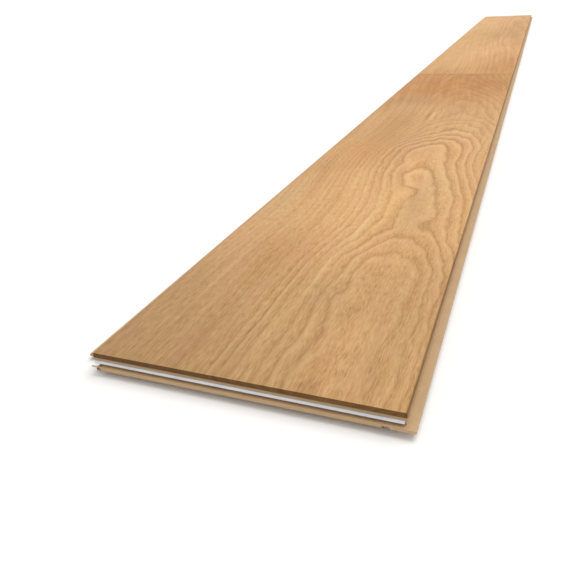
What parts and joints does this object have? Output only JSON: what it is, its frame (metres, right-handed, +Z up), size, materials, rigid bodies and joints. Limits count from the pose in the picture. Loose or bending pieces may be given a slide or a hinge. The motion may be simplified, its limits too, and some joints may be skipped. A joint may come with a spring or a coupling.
{
  "type": "wide plank floorboard",
  "caption": "Wide plank engineered floorboard with an oak face, a fibreboard core milled to click together, a sprung plastic end strip and a veneer backing.",
  "frame": {"origin": "on the underside, below the middle of the oak face", "axes": "+X across the board towards the tongue edge, +Y along the board from the end with the strip to the far end, +Z up through the oak face"},
  "size_m": [0.166, 2.203, 0.01],
  "materials": {
    "oak": "brushed oak with open pores under a matt oil",
    "fibreboard": "pale high-density fibreboard, milled",
    "strip_plastic": "white extruded plastic, satin",
    "backing_veneer": "raw rotary-cut veneer"
  },
  "bodies": {
    "root": {"face_stave_near": "oak", "face_stave_far": "oak", "core": "fibreboard", "locking_strip": "strip_plastic", "backing": "backing_veneer"}
  },
  "joints": []
}
